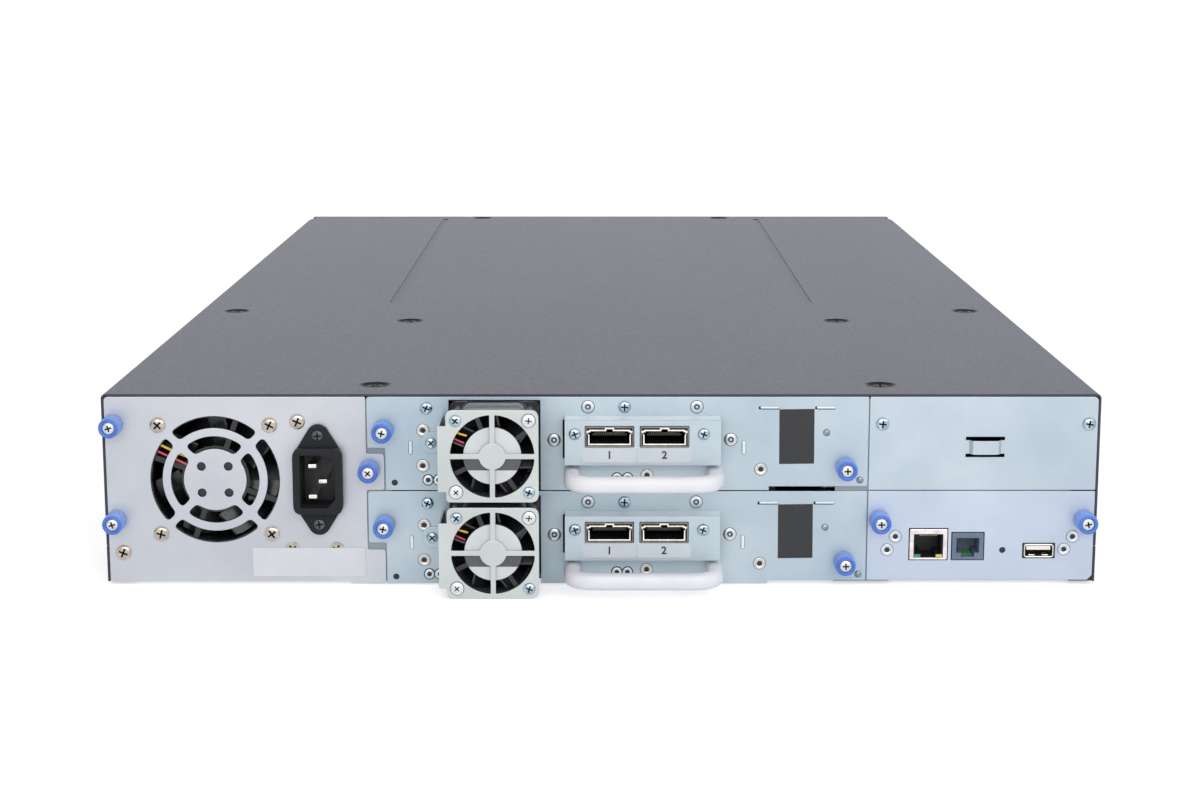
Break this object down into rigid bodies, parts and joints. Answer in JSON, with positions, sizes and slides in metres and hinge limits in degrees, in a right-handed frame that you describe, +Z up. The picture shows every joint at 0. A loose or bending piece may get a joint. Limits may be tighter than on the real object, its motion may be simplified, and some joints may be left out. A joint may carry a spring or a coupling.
{
  "type": "data tape library",
  "caption": "Rack-mount tape library with slide-out power supply, drive sleds and controller, side magazines and a picker.",
  "frame": {"origin": "middle of the base pan's underside", "axes": "+Z up; +Y from the rear panels to the front bezel; +X to the right as seen from the rear"},
  "size_m": [0.447, 0.792, 0.0875],
  "materials": {
    "cover_paint": "charcoal textured paint",
    "pan_steel": "black paint",
    "bay_zinc": "zinc plated sheet",
    "panel_zinc": "zinc plated sheet, matt",
    "psu_zinc": "pale grey coated sheet",
    "sled_zinc": "zinc plated sheet, matt",
    "black_screw": "black oxide",
    "nickel_screw": "nickel plated",
    "zinc_screw": "zinc plated",
    "thumb_blue": "blue knurled knob on a steel screw",
    "black_plastic": "moulded, matt",
    "guard_paint": "pale grey coated sheet",
    "port_nickel": "nickel plated cage",
    "handle_paint": "pale satin coating",
    "drive_steel": "plated steel housing",
    "board_green": "glass fibre board, green mask",
    "jack_steel": "tinned shield",
    "jack_plastic": "blue-grey moulding",
    "bezel_plastic": "fine texture moulding",
    "display_glass": "clear window over a dark display",
    "key_plastic": "grey moulding",
    "magazine_plastic": "moulded, matt",
    "mail_plastic": "moulded, matt",
    "rail_steel": "bright steel",
    "picker_plastic": "moulded, matt",
    "gear_plastic": "natural acetal",
    "inlet_plastic": "black thermoplastic"
  },
  "bodies": {
    "chassis": {"base_pan": "pan_steel", "top_cover": "cover_paint", "left_divider": "bay_zinc", "right_divider": "bay_zinc", "blank_plate": "panel_zinc", "chassis_screws": "black_screw", "front_frame": "bay_zinc", "front_bezel": "bezel_plastic", "operator_display": "display_glass", "robot_rails": "rail_steel"},
    "power_supply": {"psu_case": "psu_zinc", "psu_fan_frame": "black_plastic", "psu_screws": "nickel_screw", "power_inlet": "inlet_plastic"},
    "power_supply_rotor": {"psu_fan_rotor": "black_plastic"},
    "controller": {"controller_panel": "panel_zinc", "controller_board": "board_green", "ethernet_jack": "jack_steel", "serial_jack": "jack_plastic", "usb_port": "jack_steel"},
    "reset": {"reset_button": "key_plastic"},
    "magazine_left": {"left_magazine": "magazine_plastic"},
    "magazine_right": {"right_magazine": "magazine_plastic"},
    "mail_drawer": {"mail_slot": "mail_plastic"},
    "carriage": {"robot_carriage": "picker_plastic"},
    "pinion": {"drive_pinion": "gear_plastic"},
    "turntable": {"robot_turntable": "picker_plastic"},
    "cradle": {"robot_cradle": "picker_plastic"},
    "power_button": {"power_key": "key_plastic"},
    "psu_thumbscrew_1_body": {"psu_thumbscrew_1": "thumb_blue"},
    "psu_thumbscrew_2_body": {"psu_thumbscrew_2": "thumb_blue"},
    "psu_thumbscrew_3_body": {"psu_thumbscrew_3": "thumb_blue"},
    "drive_sled_lower": {"sled_case_lower": "sled_zinc", "tape_drive_lower": "drive_steel", "fan_frame_lower": "black_plastic", "fan_grille_lower": "guard_paint", "sas_bracket_lower": "sled_zinc", "sas_ports_lower": "port_nickel", "pull_handle_lower": "handle_paint", "sled_screws_lower": "zinc_screw"},
    "fan_rotor_lower_body": {"fan_rotor_lower": "black_plastic"},
    "sled_thumbscrew_lower_left_body": {"sled_thumbscrew_lower_left": "thumb_blue"},
    "sled_thumbscrew_lower_right_body": {"sled_thumbscrew_lower_right": "thumb_blue"},
    "drive_sled_upper": {"sled_case_upper": "sled_zinc", "tape_drive_upper": "drive_steel", "fan_frame_upper": "black_plastic", "fan_grille_upper": "guard_paint", "sas_bracket_upper": "sled_zinc", "sas_ports_upper": "port_nickel", "pull_handle_upper": "handle_paint", "sled_screws_upper": "zinc_screw"},
    "fan_rotor_upper_body": {"fan_rotor_upper": "black_plastic"},
    "sled_thumbscrew_upper_left_body": {"sled_thumbscrew_upper_left": "thumb_blue"},
    "sled_thumbscrew_upper_right_body": {"sled_thumbscrew_upper_right": "thumb_blue"},
    "controller_thumbscrew_left_body": {"controller_thumbscrew_left": "thumb_blue"},
    "controller_thumbscrew_right_body": {"controller_thumbscrew_right": "thumb_blue"},
    "menu_key_1_body": {"menu_key_1": "key_plastic"},
    "menu_key_2_body": {"menu_key_2": "key_plastic"},
    "menu_key_3_body": {"menu_key_3": "key_plastic"},
    "menu_key_4_body": {"menu_key_4": "key_plastic"}
  },
  "joints": [
    {"name": "power_supply_slide", "type": "slide", "parent": "chassis", "child": "power_supply", "axis": [0, -1, 0], "range_m": [0, 0.24]},
    {"name": "power_supply_fan_spin", "type": "hinge", "parent": "power_supply", "child": "power_supply_rotor", "pos_m": [-0.1735, -0.367, 0.0484], "axis": [0, 1, 0], "continuous": true},
    {"name": "psu_thumbscrew_1_turn", "type": "hinge", "parent": "power_supply", "child": "psu_thumbscrew_1_body", "pos_m": [-0.2185, -0.38, 0.0738], "axis": [0, 1, 0], "continuous": true},
    {"name": "psu_thumbscrew_2_turn", "type": "hinge", "parent": "power_supply", "child": "psu_thumbscrew_2_body", "pos_m": [-0.2185, -0.38, 0.0298], "axis": [0, 1, 0], "continuous": true},
    {"name": "psu_thumbscrew_3_turn", "type": "hinge", "parent": "power_supply", "child": "psu_thumbscrew_3_body", "pos_m": [-0.1039, -0.38, 0.0534], "axis": [0, 1, 0], "continuous": true},
    {"name": "drive_sled_lower_slide", "type": "slide", "parent": "chassis", "child": "drive_sled_lower", "axis": [0, -1, 0], "range_m": [0, 0.26]},
    {"name": "fan_lower_spin", "type": "hinge", "parent": "drive_sled_lower", "child": "fan_rotor_lower_body", "pos_m": [-0.0477, -0.39, 0.0207], "axis": [0, 1, 0], "continuous": true},
    {"name": "sled_thumbscrew_lower_left_turn", "type": "hinge", "parent": "drive_sled_lower", "child": "sled_thumbscrew_lower_left_body", "pos_m": [-0.0975, -0.38, 0.0279], "axis": [0, 1, 0], "continuous": true},
    {"name": "sled_thumbscrew_lower_right_turn", "type": "hinge", "parent": "drive_sled_lower", "child": "sled_thumbscrew_lower_right_body", "pos_m": [0.1097, -0.38, 0.0108], "axis": [0, 1, 0], "continuous": true},
    {"name": "drive_sled_upper_slide", "type": "slide", "parent": "chassis", "child": "drive_sled_upper", "axis": [0, -1, 0], "range_m": [0, 0.26]},
    {"name": "fan_upper_spin", "type": "hinge", "parent": "drive_sled_upper", "child": "fan_rotor_upper_body", "pos_m": [-0.0477, -0.39, 0.0643], "axis": [0, 1, 0], "continuous": true},
    {"name": "sled_thumbscrew_upper_left_turn", "type": "hinge", "parent": "drive_sled_upper", "child": "sled_thumbscrew_upper_left_body", "pos_m": [-0.0975, -0.38, 0.0715], "axis": [0, 1, 0], "continuous": true},
    {"name": "sled_thumbscrew_upper_right_turn", "type": "hinge", "parent": "drive_sled_upper", "child": "sled_thumbscrew_upper_right_body", "pos_m": [0.1097, -0.38, 0.0544], "axis": [0, 1, 0], "continuous": true},
    {"name": "controller_slide", "type": "slide", "parent": "chassis", "child": "controller", "axis": [0, -1, 0], "range_m": [0, 0.16]},
    {"name": "controller_thumbscrew_left_turn", "type": "hinge", "parent": "controller", "child": "controller_thumbscrew_left_body", "pos_m": [0.1253, -0.38, 0.03], "axis": [0, 1, 0], "continuous": true},
    {"name": "controller_thumbscrew_right_turn", "type": "hinge", "parent": "controller", "child": "controller_thumbscrew_right_body", "pos_m": [0.2177, -0.38, 0.03], "axis": [0, 1, 0], "continuous": true},
    {"name": "reset_press", "type": "slide", "parent": "controller", "child": "reset", "axis": [0, 1, 0], "range_m": [0, 0.0005], "stiffness_N_per_m": 400},
    {"name": "magazine_left_slide", "type": "slide", "parent": "chassis", "child": "magazine_left", "axis": [0, 1, 0], "range_m": [0, 0.46]},
    {"name": "magazine_right_slide", "type": "slide", "parent": "chassis", "child": "magazine_right", "axis": [0, 1, 0], "range_m": [0, 0.46]},
    {"name": "mail_slot_slide", "type": "slide", "parent": "magazine_right", "child": "mail_drawer", "axis": [0, 1, 0], "range_m": [0, 0.11]},
    {"name": "carriage_travel", "type": "slide", "parent": "chassis", "child": "carriage", "axis": [0, 1, 0], "range_m": [0, 0.285]},
    {"name": "pinion_turn", "type": "hinge", "parent": "carriage", "child": "pinion", "pos_m": [0.07985, 0.03637, 0.0072], "axis": [0, 0, 1], "range_deg": [-1556.2, 0]},
    {"name": "turntable_turn", "type": "hinge", "parent": "carriage", "child": "turntable", "pos_m": [0, -0.015, 0.0015], "axis": [0, 0, 1], "range_deg": [-90, 90]},
    {"name": "cradle_lift", "type": "slide", "parent": "turntable", "child": "cradle", "axis": [0, 0, 1], "range_m": [0, 0.05]},
    {"name": "menu_key_1_press", "type": "slide", "parent": "chassis", "child": "menu_key_1_body", "axis": [0, -1, 0], "range_m": [0, 0.001], "stiffness_N_per_m": 600},
    {"name": "menu_key_2_press", "type": "slide", "parent": "chassis", "child": "menu_key_2_body", "axis": [0, -1, 0], "range_m": [0, 0.001], "stiffness_N_per_m": 600},
    {"name": "menu_key_3_press", "type": "slide", "parent": "chassis", "child": "menu_key_3_body", "axis": [0, -1, 0], "range_m": [0, 0.001], "stiffness_N_per_m": 600},
    {"name": "menu_key_4_press", "type": "slide", "parent": "chassis", "child": "menu_key_4_body", "axis": [0, -1, 0], "range_m": [0, 0.001], "stiffness_N_per_m": 600},
    {"name": "power_key_press", "type": "slide", "parent": "chassis", "child": "power_button", "axis": [0, -1, 0], "range_m": [0, 0.001], "stiffness_N_per_m": 600}
  ],
  "couplings": [
    {"joint": "pinion_turn", "follows": "carriage_travel", "rad_per_m": -95.238}
  ]
}
